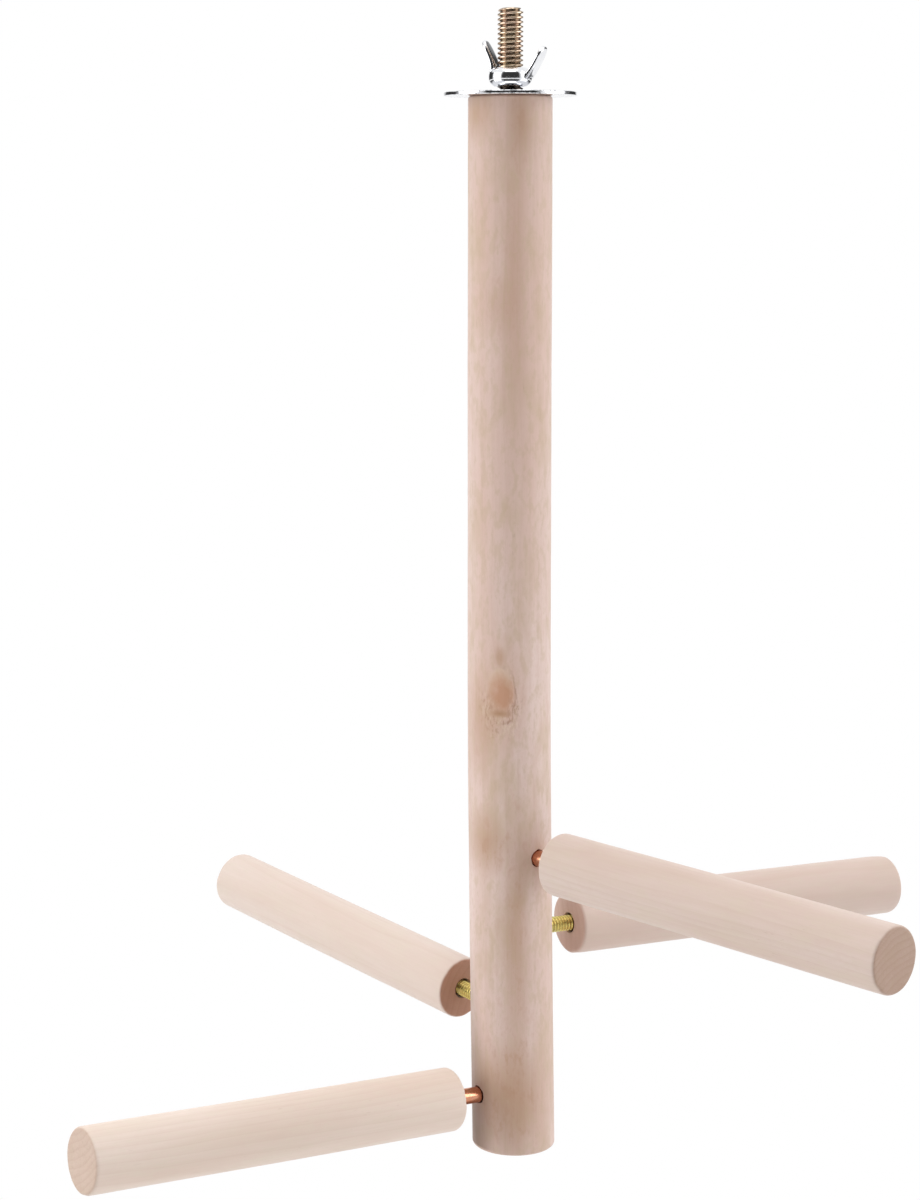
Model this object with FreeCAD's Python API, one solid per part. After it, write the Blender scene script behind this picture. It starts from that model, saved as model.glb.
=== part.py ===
import FreeCAD, Part
import math
import os

# Hanging parrot play stand: one upright dowel that a bolt clamps to the cage roof,
# and four shorter dowels screwed into it as a spiral stair of perches.
# Millimetres, +Z up. The origin is on the bolt's axis, at the post's top end face,
# where the cage bars are gripped between that face and the washer.

os.makedirs("parts", exist_ok=True)

Vec = FreeCAD.Vector
up = Vec(0, 0, 1)

# ---- fits ----
thread_clear = 0.05        # radial gap between a thread's outside and its hole
tip_clear = 0.6            # empty depth past the tip of a screw in its hole
drill_point = 118.0        # angle across a drilled hole's cone, degrees

# ---- post ----
post_dia = 25.4
post_len = 320.0
post_arris = 0.9           # rounding of the edge at each end

# ---- hanger bolt: machine thread above the post, wood thread inside it ----
bolt_dia = 7.94
bolt_above = 26.0          # from the post's top face to the bolt's top
bolt_depth = 38.0          # from the post's top face to the bolt's point
bolt_top_chamfer = 0.9
bolt_taper = 9.0           # length of the wood thread's tapered end
bolt_point_dia = 1.6

# ---- washer ----
washer_dia = 40.0
washer_thick = 1.2
washer_edge = 0.3          # rounding of the outer edge
washer_bore_clear = 0.08   # radial gap round the bolt

# ---- wing nut ----
nut_gap = 1.6              # space left between washer and nut when it is not done up
hub_height = 5.6
hub_end_radius = 4.9       # at the top and bottom faces
hub_mid_radius = 6.25      # at the bulge
hub_bore_chamfer = 0.35
ear_root_radius = 4.9      # where the ear's middle line leaves the hub
ear_root_height = 4.2
ear_tip_radius = 9.6
ear_tip_height = 14.0
ear_bow = 0.45             # how far the middle line sags outwards between its ends
ear_root_thick = 2.3
ear_tip_thick = 1.5
ear_root_width = 7.4
ear_tip_width = 5.4
ear_round = 0.6            # rounding of the ear's edges
ear_turn = -12.0           # angle of the ears about the bolt, degrees

# ---- perches, counted upwards from the lowest ----
perch_dia = 19.0
perch_len = 124.0
perch_arris = 0.9
perch_gap = 9.0            # bare screw between the post and the perch
perch_first = 16.5         # height of the lowest perch's axis above the post's foot
perch_step = 25.0          # height from one perch to the next
perch_turns = [213.8, 128.6, 28.7, -47.8]   # direction about the post, degrees from +X
perch_rises = [3.2, 3.9, -1.8, -0.8]        # lean of the drilled hole, degrees upwards

# ---- perch screws: wood thread in the post, machine thread in the perch ----
screw_dia = 4.83
screw_in_post = 12.0
screw_in_perch = 18.0
screw_taper = 4.5          # length of the tapered end in the post
screw_point_dia = 1.2
screw_chamfer = 0.5
screw_travel_in = 8.0      # how far the perch can still be screwed in
mouth_dia = 6.8            # countersunk mouth in the perch's inner end
mouth_depth = 2.2

perch_count = len(perch_turns)


def turned(points, arcs=None):
    """Solid of revolution about Z from (radius, z) points; arcs maps an edge's
    index to a point it bends through."""
    arcs = arcs or {}
    corners = [Vec(r, 0, z) for r, z in points]
    edges = []
    for i, start in enumerate(corners):
        end = corners[(i + 1) % len(corners)]
        if i in arcs:
            bend = Vec(arcs[i][0], 0, arcs[i][1])
            edges.append(Part.Arc(start, bend, end).toShape())
        else:
            edges.append(Part.makeLine(start, end))
    return Part.Face(Part.Wire(edges)).revolve(Vec(0, 0, 0), up, 360)


def dowel(dia, length, arris):
    """Plain round stock along +Z from the origin, both ends' edges rounded."""
    r = dia / 2
    k = arris * (1 - math.sqrt(0.5))
    points = [(0, 0), (r - arris, 0), (r, arris), (r, length - arris), (r - arris, length), (0, length)]
    bends = {1: (r - k, k), 3: (r - k, length - k)}
    return turned(points, bends)


def drilled(dia, depth):
    """Cutter for a blind drilled hole: depth of full bore along +Z, then the drill's cone."""
    r = dia / 2
    cone = r / math.tan(math.radians(drill_point / 2))
    return turned([(0, 0), (r, 0), (r, depth), (0, depth + cone)])


def double_screw(dia, length, chamfer, taper, point_dia):
    """Screw with no head along +Z: chamfered machine end at z = length, tapered wood end at z = 0."""
    r = dia / 2
    points = [(0, 0), (point_dia / 2, 0), (r, taper), (r, length - chamfer), (r - chamfer, length), (0, length)]
    return turned(points)


def along(shape, start, direction):
    """Copy of a shape made along +Z, set to start at a point and run in a direction."""
    placed = shape.copy()
    placed.Placement = FreeCAD.Placement(start, FreeCAD.Rotation(up, direction))
    return placed


def perch_axis(i):
    """Point on the post's axis and unit direction of perch i."""
    turn = math.radians(perch_turns[i])
    rise = math.radians(perch_rises[i])
    centre = Vec(0, 0, perch_first + i * perch_step - post_len)
    direction = Vec(math.cos(turn) * math.cos(rise), math.sin(turn) * math.cos(rise), math.sin(rise))
    return centre, direction


def make_post():
    post = dowel(post_dia, post_len, post_arris)
    post.translate(Vec(0, 0, -post_len))
    bolt_hole = drilled(bolt_dia + 2 * thread_clear, bolt_depth + tip_clear)
    cutters = [along(bolt_hole, Vec(0, 0, 0), Vec(0, 0, -1))]
    hole_depth = screw_in_post + screw_travel_in + tip_clear
    for i in range(perch_count):
        centre, direction = perch_axis(i)
        mouth = post_dia / 2 + screw_dia
        hole = drilled(screw_dia + 2 * thread_clear, hole_depth + mouth - post_dia / 2)
        cutters.append(along(hole, centre + direction * mouth, direction * -1))
    return post.cut(cutters)


def make_hanger_bolt():
    bolt = double_screw(bolt_dia, bolt_depth + bolt_above, bolt_top_chamfer, bolt_taper, bolt_point_dia)
    bolt.translate(Vec(0, 0, -bolt_depth))
    return bolt


def make_washer():
    outer = washer_dia / 2
    inner = bolt_dia / 2 + washer_bore_clear
    e = washer_edge
    k = e * (1 - math.sqrt(0.5))
    t = washer_thick
    points = [(inner, 0), (outer - e, 0), (outer, e), (outer, t - e), (outer - e, t), (inner, t)]
    return turned(points, {1: (outer - k, k), 3: (outer - k, t - k)})


def ear_side():
    """Ear seen edge-on, in the XZ plane: two bowed lines either side of its middle line."""
    root = Vec(ear_root_radius, 0, ear_root_height)
    tip = Vec(ear_tip_radius, 0, ear_tip_height + ear_tip_thick)
    out = Vec(tip.z - root.z, 0, root.x - tip.x).normalize()
    middle = (root + tip) * 0.5 + out * ear_bow
    half_root = ear_root_thick / 2
    half_tip = ear_tip_thick / 2
    half_mid = (half_root + half_tip) / 2
    outer = Part.Arc(root + out * half_root, middle + out * half_mid, tip + out * half_tip)
    top = Part.makeLine(tip + out * half_tip, tip - out * half_tip)
    inner = Part.Arc(tip - out * half_tip, middle - out * half_mid, root - out * half_root)
    foot = Part.makeLine(root - out * half_root, root + out * half_root)
    return Part.Face(Part.Wire([outer.toShape(), top, inner.toShape(), foot]))


def ear_front():
    """Ear seen from outside, in the YZ plane: a tongue that narrows to a round tip."""
    low = ear_root_height - ear_root_thick
    half_root = ear_root_width / 2
    half_tip = ear_tip_width / 2
    shoulder = ear_tip_height - half_tip
    start = Vec(0, -half_root, low)
    left = Vec(0, -half_tip, shoulder)
    right = Vec(0, half_tip, shoulder)
    end = Vec(0, half_root, low)
    lines = [Part.makeLine(start, left), Part.Arc(left, Vec(0, 0, ear_tip_height), right).toShape()]
    lines += [Part.makeLine(right, end), Part.makeLine(end, start)]
    return Part.Face(Part.Wire(lines))


def make_ear():
    reach = ear_tip_radius + ear_root_thick
    slab = ear_side()
    slab.translate(Vec(0, -ear_root_width, 0))
    slab = slab.extrude(Vec(0, 2 * ear_root_width, 0))
    ear = slab.common(ear_front().extrude(Vec(reach, 0, 0)))
    rims = [e for e in ear.Edges if e.BoundBox.ZMax > ear_root_height + ear_root_thick]
    return ear.makeFillet(ear_round, rims)


def make_wing_nut():
    bore = bolt_dia / 2 + thread_clear
    mid = hub_height / 2
    c = hub_bore_chamfer
    profile = [
        (bore, c), (bore + c, 0), (hub_end_radius, 0), (hub_end_radius, hub_height),
        (bore + c, hub_height), (bore, hub_height - c),
    ]
    hub = turned(profile, {2: (hub_mid_radius, mid)})
    ear = make_ear()
    other = ear.copy()
    other.rotate(Vec(0, 0, 0), up, 180)
    core = Part.makeCylinder(bore + c, ear_tip_height)
    nut = hub.fuse([ear.cut(core), other.cut(core)])
    nut = nut.removeSplitter()
    nut.rotate(Vec(0, 0, 0), up, ear_turn)
    nut.translate(Vec(0, 0, washer_thick + nut_gap))
    return nut


def make_perch(i):
    """Perch i with its inner end's stepped hole for the screw."""
    perch = dowel(perch_dia, perch_len, perch_arris)
    hole = drilled(screw_dia + 2 * thread_clear, screw_in_perch + tip_clear)
    mouth = Part.makeCylinder(mouth_dia / 2, mouth_depth)
    perch = perch.cut([hole, mouth])
    centre, direction = perch_axis(i)
    return along(perch, centre + direction * (post_dia / 2 + perch_gap), direction)


def make_perch_screw(i):
    length = screw_in_post + perch_gap + screw_in_perch
    screw = double_screw(screw_dia, length, screw_chamfer, screw_taper, screw_point_dia)
    centre, direction = perch_axis(i)
    return along(screw, centre + direction * (post_dia / 2 - screw_in_post), direction)


def save(name, shape):
    shape.exportStep("parts/" + name + ".step")
    print(name, "solids", len(shape.Solids), "faces", len(shape.Faces), "valid", shape.isValid())


save("post", make_post())
save("hanger_bolt", make_hanger_bolt())
save("cage_washer", make_washer())
save("wing_nut", make_wing_nut())
for number in range(perch_count):
    save("perch_%d" % (number + 1), make_perch(number))
    save("perch_screw_%d" % (number + 1), make_perch_screw(number))
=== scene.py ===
import bpy
import math
import numpy as np
from mathutils import Matrix, Vector


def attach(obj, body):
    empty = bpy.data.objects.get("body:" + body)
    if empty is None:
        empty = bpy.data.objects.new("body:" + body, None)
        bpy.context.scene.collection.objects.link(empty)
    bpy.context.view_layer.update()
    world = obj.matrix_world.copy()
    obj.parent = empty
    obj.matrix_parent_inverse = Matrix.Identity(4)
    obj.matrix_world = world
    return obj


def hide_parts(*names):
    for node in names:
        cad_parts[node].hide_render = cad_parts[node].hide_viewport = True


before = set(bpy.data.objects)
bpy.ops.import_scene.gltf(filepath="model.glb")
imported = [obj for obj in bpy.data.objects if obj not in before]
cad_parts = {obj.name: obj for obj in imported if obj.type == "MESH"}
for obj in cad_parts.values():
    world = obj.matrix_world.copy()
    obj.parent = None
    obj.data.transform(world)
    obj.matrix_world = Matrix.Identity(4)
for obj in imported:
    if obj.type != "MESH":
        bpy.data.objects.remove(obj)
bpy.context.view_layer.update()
print("frame loaded:", len(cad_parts), "nodes")

mm = 0.001
turn = 2 * math.pi


# A mesh piece from points and faces. The signed volume, the sum of a . (b x c) / 6 over its
# triangles, comes out negative when the faces point inwards, and then they are turned over.
def solidPiece(name, points, quads, triangles, sharpDegrees):
    fans = np.vstack([quads[:, [0, 1, 2]], quads[:, [0, 2, 3]], triangles])
    a, b, c = points[fans[:, 0]], points[fans[:, 1]], points[fans[:, 2]]
    if np.einsum("ij,ij->i", a, np.cross(b, c)).sum() < 0:
        quads, triangles = quads[:, ::-1], triangles[:, ::-1]
    mesh = bpy.data.meshes.new(name)
    mesh.from_pydata(points.tolist(), [], quads.tolist() + triangles.tolist())
    mesh.polygons.foreach_set("use_smooth", np.ones(len(mesh.polygons), bool))
    mesh.set_sharp_from_angle(angle=math.radians(sharpDegrees))
    piece = bpy.data.objects.new(name, mesh)
    bpy.context.scene.collection.objects.link(piece)
    return piece


# Grid of points closed at both ends: rows follow the profile, columns go once round, and a
# point at the middle of the first row and of the last closes each.
def gridPiece(name, grid, sharpDegrees=48):
    rows, columns = grid.shape[:2]
    points = np.vstack([grid.reshape(-1, 3), grid[:1].mean(1), grid[-1:].mean(1)])
    index = np.arange(rows * columns).reshape(rows, columns)
    beside = np.roll(index, -1, axis=1)
    quads = np.stack([index[:-1], beside[:-1], beside[1:], index[1:]], axis=-1).reshape(-1, 4)
    firstPole = np.stack([beside[0], index[0], np.full(columns, rows * columns)], axis=-1)
    lastPole = np.stack([index[-1], beside[-1], np.full(columns, rows * columns + 1)], axis=-1)
    return solidPiece(name, points, quads, np.vstack([firstPole, lastPole]), sharpDegrees)


# Grid of points closed both ways: rows go round a section and come back to the first.
def ringPiece(name, grid, sharpDegrees=48):
    rows, columns = grid.shape[:2]
    index = np.arange(rows * columns).reshape(rows, columns)
    beside, below = np.roll(index, -1, axis=1), np.roll(index, -1, axis=0)
    quads = np.stack([index, beside, np.roll(below, -1, axis=1), below], axis=-1).reshape(-1, 4)
    return solidPiece(name, grid.reshape(-1, 3), quads, np.zeros((0, 3), int), sharpDegrees)


# Straight run of (radius, height) points in count steps.
def line(start, end, count):
    return np.linspace(start, end, count + 1)


# Arc of (radius, height) points: centre + size (cos q, sin q), q in degrees.
def arc(centre, size, fromDegrees, toDegrees, count):
    q = np.radians(np.linspace(fromDegrees, toDegrees, count + 1))
    return np.stack([centre[0] + size * np.cos(q), centre[1] + size * np.sin(q)], axis=1)


# Profile of (radius r, height z) carried once round +Z: (r cos t, r sin t, z).
def revolve(profile, columns):
    t = np.arange(columns) * turn / columns
    r, z = profile[:, :1], profile[:, 1:]
    return np.stack([r * np.cos(t), r * np.sin(t), z + 0 * t], axis=-1)


# Three unit vectors as rows: level sideways, the one square to both, and the axis d itself.
# A local point (x, y, z) then lies at start + x side + y rise + z d, which is local @ axes.
def axesFor(direction):
    d = np.array(direction, float) / np.linalg.norm(direction)
    side = np.cross([0, 0, 1], d)
    side = side / np.linalg.norm(side)
    return np.array([side, np.cross(d, side), d])


# How far a dowel's skin lies inside its nominal radius at angle t and height z: a sum of
# share (1 + cos(order t + phase) cos(2 pi z / pitch + lean)) / 2, for ovalness, a slow
# wander along the dowel and shallow sanding flats.
def skinDip(t, z, seed, depth):
    rng = np.random.default_rng(seed)
    waves = ((2, 0.19, 0.45), (3, 0.11, 0.25), (5, 0.06, 0.12), (7, 0.033, 0.1), (11, 0.02, 0.08))
    dip = 0 * t * z
    for order, pitch, share in waves:
        phase, lean = rng.uniform(0, turn, 2)
        dip = dip + share * (0.5 + 0.5 * np.cos(order * t + phase) * np.cos(turn * z / pitch + lean))
    return depth * dip


# Angle difference brought into -pi to pi.
def wrapAngle(q):
    return (q + math.pi) % turn - math.pi


post = {
    "radius": 12.7 * mm,
    "length": 320.0 * mm,
    "arris": 0.9 * mm,
    "bow": 1.7 * mm,               # how far the foot swings to +X
    "bowFrom": 0.5,                # share of the length, from the top, where the swing begins
    "skinDepth": 0.2 * mm,
    "boltHole": (4.02 * mm, 38.6 * mm),     # radius and depth
    "boltMouth": 0.4 * mm,         # bevel round the bolt's hole
    "boltTip": (1.5 * mm, 1.6 * mm),        # last radius of the drill's cone, and its depth below
    "sideProfile": [               # share of the way in, depth, radius of a side hole
        (0, 0, 2.72 * mm), (0.12, 0.3 * mm, 2.62 * mm), (0.24, 1.6 * mm, 2.46 * mm),
        (0.8, 20.5 * mm, 2.46 * mm), (0.9, 21.5 * mm, 1.2 * mm), (1, 21.9 * mm, 0),
    ],
    "torn": [(5, 1, 0.02), (9, 2, 0.015)],  # waves round a side hole's edge, lean, share of its radius
    "columns": 256,
    "patch": 15,                   # half width of the patch round each side hole, in grid steps
    "rim": 0.6,                    # which square ring of the patch becomes the hole's edge
    "rowGap": 1.6 * mm,
    "upperRows": 150,              # rows above the highest patch
    "footCentre": 0.4 * mm,        # radius of the ring nearest the middle of the foot
    "seed": 5,
}

perch = {
    "turns": [213.8, 128.6, 28.7, -47.8],   # degrees about the post from +X, lowest perch first
    "rises": [3.2, 3.9, -1.8, -0.8],        # lean upwards, degrees
    "firstHeight": 16.5 * mm,               # above the post's foot
    "step": 25.0 * mm,
    "length": 124.0 * mm,
    "radius": 9.5 * mm,
    "gap": 9.0 * mm,                        # bare screw between post and perch
    "arris": [1.0 * mm, 0.9 * mm, 1.1 * mm, 1.0 * mm],
    "hole": (2.6 * mm, 19.0 * mm),          # radius and depth
    "mouth": (2.95 * mm, 2.2 * mm),
    "holeTip": (0.9 * mm, 1.2 * mm),        # last radius of the drill's cone, and its depth past the hole
    "faceCentre": 0.5 * mm,                 # radius of the ring nearest the middle of the free end
    "skinDepth": 0.16 * mm,
    "bow": [0.25 * mm, 0.3 * mm, 0.2 * mm, 0.3 * mm],
    # chips at each end: width in radians, reach along the perch, depth, how many
    "chips": {"width": (0.08, 0.2), "reach": 1.6 * mm, "depth": (0.1 * mm, 0.3 * mm), "each": 3},
    "sawWave": 0.05 * mm,
    "nick": {"perch": 2, "angle": 1.25, "width": 0.16, "reach": 2.6 * mm, "depth": 0.9 * mm},
    "columns": 144,
    "seeds": [11, 23, 37, 41],
}


# A perch's line: the point where it crosses the post's axis, and its unit direction.
def perchLine(i):
    a, e = math.radians(perch["turns"][i]), math.radians(perch["rises"][i])
    height = perch["firstHeight"] + i * perch["step"] - post["length"]
    direction = (math.cos(a) * math.cos(e), math.sin(a) * math.cos(e), math.sin(e))
    return np.array([0, 0, height]), np.array(direction)


# Sideways swing of the post's middle line: bow s^1.6, s running 0 to 1 from bowFrom to the foot.
def postBow(z):
    s = np.clip((-z / post["length"] - post["bowFrom"]) / (1 - post["bowFrom"]), 0, 1)
    return post["bow"] * s ** 1.6


# Point of the post's skin at angle t and height z: (bow + r cos t, r sin t, z), r = radius - dip.
def postSkin(t, z):
    r = post["radius"] - skinDip(t, z, post["seed"], post["skinDepth"])
    return np.stack([postBow(z) + r * np.cos(t), r * np.sin(t), z + 0 * t], axis=-1)


# The patch of skin round one side hole. In the square -1 to 1 of (u, v) the square ring
# max(|u|, |v|) becomes a ring about the hole's line: outside rim it lies on the skin and turns
# from round to square; inside, it runs down the hole's wall to the bottom. Only the hole's
# edge is torn: its radius grows by the sum of part cos(waves around + lean angle).
def drilledPatch(centre, along, angle, height, squareAngle, squareHeight, u, v):
    ring, around = np.maximum(abs(u), abs(v)), np.arctan2(v, u)
    rim = post["rim"]
    inner = np.clip(1 - ring / rim, 0, 1)
    stops, depths, sizes = np.array(post["sideProfile"]).T
    depth, size = np.interp(inner, stops, depths), np.interp(inner, stops, sizes)
    torn = sum(part * np.cos(waves * around + lean * angle) for waves, lean, part in post["torn"])
    size = size * (1 + torn * np.interp(inner, [0, 0.12, 0.2], [1, 1, 0]))
    axes = axesFor(along)
    flat = (size * np.cos(around))[..., None] * axes[0] + (size * np.sin(around))[..., None] * axes[1]
    # distance w along the line to the post's cylinder: |p + w d| = radius, seen from above
    p = centre[:2] + flat[..., :2] - [postBow(height), 0]
    d = along[:2]
    dd, pd, pp = d @ d, p @ d, (p ** 2).sum(-1) - post["radius"] ** 2
    reach = (-pd + np.sqrt(pd ** 2 - dd * pp)) / dd
    edge = centre + flat + reach[..., None] * along
    edgeAngle = angle + wrapAngle(np.arctan2(edge[..., 1], edge[..., 0] - postBow(height)) - angle)
    share = np.clip((ring - rim) / (1 - rim), 0, 1)
    share = share * (1.6 - 0.6 * share)
    onSkin = postSkin(edgeAngle + (squareAngle - edgeAngle) * share,
                      edge[..., 2] + (squareHeight - edge[..., 2]) * share)
    return np.where((ring >= rim - 1e-6)[..., None], onSkin, edge - depth[..., None] * along)


# Rows for one end of the post: revolved, with the skin's dip fading as (r / radius)^3.
def postEnd(profile, t):
    rows = revolve(profile, post["columns"])
    r, z = profile[:, :1], profile[:, 1:]
    dip = skinDip(t + 0 * z, z + 0 * t, post["seed"], post["skinDepth"])
    dip = dip * np.clip(r / post["radius"], 0, 1) ** 3
    rows[..., :2] *= (1 - dip / np.maximum(r, mm))[..., None]
    rows[..., 0] += postBow(z)
    return rows


# The post: a grid of angle and height with a drilled patch at each perch, closed by its ends.
def makePost():
    n, m = post["columns"], post["patch"]
    radius, length, arris = post["radius"], post["length"], post["arris"]
    angleStep = turn / n
    rowStep = radius * angleStep
    holes = []
    for i in range(4):
        centre, along = perchLine(i)
        entry = centre + along * radius / math.hypot(along[0], along[1])
        holes.append((centre, along, math.atan2(entry[1], entry[0]) % turn, entry[2]))
    # heights of the rows, evenly spaced where a patch will be
    runs, patchRows, at, count = [], [], -length + arris, 0
    for height in [hole[3] for hole in holes]:
        gap = height - m * rowStep - at
        plain = line(at, height - m * rowStep, max(2, int(gap / post["rowGap"])))[:-1]
        runs += [plain, height + np.arange(-m, m) * rowStep]
        patchRows.append(count + len(plain) + m)
        count += len(plain) + 2 * m
        at = height + m * rowStep
    runs.append(line(at, -arris, post["upperRows"]))
    z = np.concatenate(runs)[:, None]
    t = np.arange(n)[None, :] * angleStep
    skin = postSkin(t + 0 * z, z + 0 * t)
    for (centre, along, angle, height), row in zip(holes, patchRows):
        rowIds, columnIds = row + np.arange(-m, m + 1), round(angle / angleStep) + np.arange(-m, m + 1)
        v, u = np.meshgrid(np.arange(-m, m + 1) / m, np.arange(-m, m + 1) / m, indexing="ij")
        patch = drilledPatch(centre, along, angle, height,
                             columnIds * angleStep + 0 * u, z[rowIds] + 0 * u, u, v)
        skin[np.ix_(rowIds, columnIds % n)] = patch
    (boltHole, boltDepth), (tip, tipDepth), mouth = post["boltHole"], post["boltTip"], post["boltMouth"]
    foot = np.vstack([
        line((post["footCentre"], -length), (radius - arris, -length), 14),
        arc((radius - arris, -length + arris), arris, -90, 0, 5)[1:-1],
    ])
    top = np.vstack([
        arc((radius - arris, -arris), arris, 0, 90, 5)[1:-1],
        line((radius - arris, 0), (boltHole + mouth, 0), 12),
        line((boltHole, -mouth), (boltHole, -boltDepth), 6),
        [[tip, -boltDepth - tipDepth]],
    ])
    return gridPiece("postDowel", np.concatenate([postEnd(foot, t), skin, postEnd(top, t)]))


# A perch: a profile carried round its axis, from the bottom of its screw hole out over the
# inner face, along the side and in over the free end. Each chip takes
# depth exp(-(angle / width)^2 - (distance from its end / reach)^2) off the radius.
def makePerch(i):
    radius, length, arris = perch["radius"], perch["length"], perch["arris"][i]
    (hole, holeDepth), (mouth, mouthDepth) = perch["hole"], perch["mouth"]
    tip, tipDepth = perch["holeTip"]
    profile = np.vstack([
        [[tip, holeDepth + tipDepth]],
        line((hole, holeDepth), (hole, mouthDepth + 0.1 * mm), 4),
        [[hole + 0.1 * mm, mouthDepth], [mouth, mouthDepth - 0.1 * mm], [mouth, 0.6 * mm]],
        line((mouth + 0.25 * mm, 0), (radius - arris, 0), 9),
        arc((radius - arris, arris), arris, -90, 0, 6)[1:-1],
        line((radius, arris), (radius, length - arris), 74),
        arc((radius - arris, length - arris), arris, 0, 90, 6)[1:-1],
        line((radius - arris, length), (perch["faceCentre"], length), 10),
    ])
    t = np.arange(perch["columns"])[None, :] * turn / perch["columns"]
    grid = revolve(profile, perch["columns"])
    r, z = profile[:, :1], profile[:, 1:]
    share = np.clip((r - 0.4 * radius) / (0.6 * radius), 0, 1) ** 1.5
    dip = skinDip(t + 0 * z, z + 0 * t, perch["seeds"][i], perch["skinDepth"])
    rng = np.random.default_rng(perch["seeds"][i])
    chip, nick = perch["chips"], perch["nick"]
    chips = [(end, rng.uniform(0, turn), rng.uniform(*chip["width"]), chip["reach"],
              rng.uniform(*chip["depth"])) for end in [0] * chip["each"] + [length] * chip["each"]]
    if i == nick["perch"]:
        chips.append((length, nick["angle"], nick["width"], nick["reach"], nick["depth"]))
    for end, angle, width, reach, depth in chips:
        dip = dip + depth * np.exp(-(wrapAngle(t - angle) / width) ** 2 - ((z - end) / reach) ** 2)
    grid[..., :2] *= (1 - dip * share / np.maximum(r, mm))[..., None]
    # the sawn faces wave a little, and the whole perch bows by bow (s^2 - s / 2), s = sin(pi z / length)
    wave = perch["sawWave"] * abs(np.cos(3 * t + rng.uniform(0, turn))) * r / radius * (r > mouth)
    grid[..., 2] += np.where(z > length / 2, -wave, wave)
    s = np.sin(math.pi * np.clip(z / length, 0, 1))
    grid[..., 0] += perch["bow"][i] * (s ** 2 - 0.5 * s)
    centre, along = perchLine(i)
    start = centre + along * (post["radius"] + perch["gap"])
    return gridPiece("perchDowel%d" % (i + 1), start + grid @ axesFor(along))


# Height of a thread between 0 in its root and 1 on its crest, at phase 0 to 1 of a turn:
# a flat-topped trapezium for a machine thread, thin crests with wide roots for a wood thread.
def threadShape(phase, kind):
    off = abs(2 * (phase % 1.0) - 1)
    return np.clip(1 - off / 0.36, 0, 1) if kind == "wood" else np.clip((0.84 - off) / 0.56, 0, 1)


# Threaded rod along +Z. Its crests follow the outline's (height, radius) corners, and each
# right-handed thread cuts depth (1 - shape(z / pitch - t / 2 pi)) below them, less where the
# rod thins to its point.
def threadedRod(rod, threads):
    outline = np.array(rod["outline"])
    z = np.append(np.arange(outline[0, 0], outline[-1, 0], rod["rowStep"]), outline[-1, 0])[:, None]
    t = np.arange(rod["columns"])[None, :] * turn / rod["columns"]
    crest = np.interp(z, outline[:, 0], outline[:, 1]) + 0 * t
    cut = 0 * crest
    for thread in threads:
        low, high = thread["from"], thread["to"]
        inside = np.clip((z - low) / thread["fade"], 0, 1) * np.clip((high - z) / thread["fade"], 0, 1)
        shape = threadShape(z / thread["pitch"] - t / turn, thread["kind"])
        cut = cut + thread["depth"] * inside * (1 - shape)
    thinness = np.clip(crest / outline[:, 1].max(), 0.2, 1)
    r = np.maximum(crest - cut * thinness, 0.25 * crest)
    return np.stack([r * np.cos(t), r * np.sin(t), z + 0 * t], axis=-1)


hangerBolt = {
    "outline": [                   # height and radius of the crests
        (-38 * mm, 0.8 * mm), (-29 * mm, 3.84 * mm), (25.1 * mm, 3.84 * mm), (26 * mm, 3.1 * mm),
    ],
    "threads": [
        {"kind": "wood", "from": -37.5 * mm, "to": -4 * mm,
         "pitch": 3 * mm, "depth": 1.05 * mm, "fade": 2 * mm},
        {"kind": "machine", "from": -1 * mm, "to": 27.5 * mm,
         "pitch": 1.411 * mm, "depth": 0.8 * mm, "fade": 1.2 * mm},
    ],
    "rowStep": 0.118 * mm,
    "columns": 80,
}

perchScrew = {
    "outline": [(0, 0.6 * mm), (4.5 * mm, 2.4 * mm), (38.5 * mm, 2.4 * mm), (39 * mm, 1.9 * mm)],
    "wood": {"kind": "wood", "from": 0.4 * mm, "to": 11 * mm,
             "pitch": 2 * mm, "depth": 0.62 * mm, "fade": 1.5 * mm},
    "machine": {"kind": "machine", "to": 41 * mm,
                "pitch": 1.058 * mm, "depth": 0.32 * mm, "fade": 0.8 * mm},
    "machineFrom": [20.5 * mm, 12.2 * mm, 12.2 * mm, 20.5 * mm],   # the front two have a plain shank
    "inPost": 12 * mm,
    "rowStep": 0.1 * mm,
    "columns": 56,
}


# A perch's screw, a threaded rod set along the perch's line with its point inside the post.
def makePerchScrew(i):
    machine = dict(perchScrew["machine"], **{"from": perchScrew["machineFrom"][i]})
    grid = threadedRod(perchScrew, [perchScrew["wood"], machine])
    centre, along = perchLine(i)
    start = centre + along * (post["radius"] - perchScrew["inPost"])
    return gridPiece("perchStud%d" % (i + 1), start + grid @ axesFor(along), 70)


washer = {
    "outer": 19.85 * mm, "inner": 4.1 * mm, "thick": 1.2 * mm,
    "topEdge": 0.32 * mm,          # rounded by the punch
    "footEdge": 0.16 * mm,
    "flats": (0.6 * mm, 0.8 * mm),          # where the flat faces begin and end, in from each edge
    "dish": 0.045 * mm,
    "waves": [(2, 0.7, 0.03 * mm, 2), (5, 2.0, 0.012 * mm, 1)],     # number, phase, height, power
    "columns": 288,
}


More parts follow.
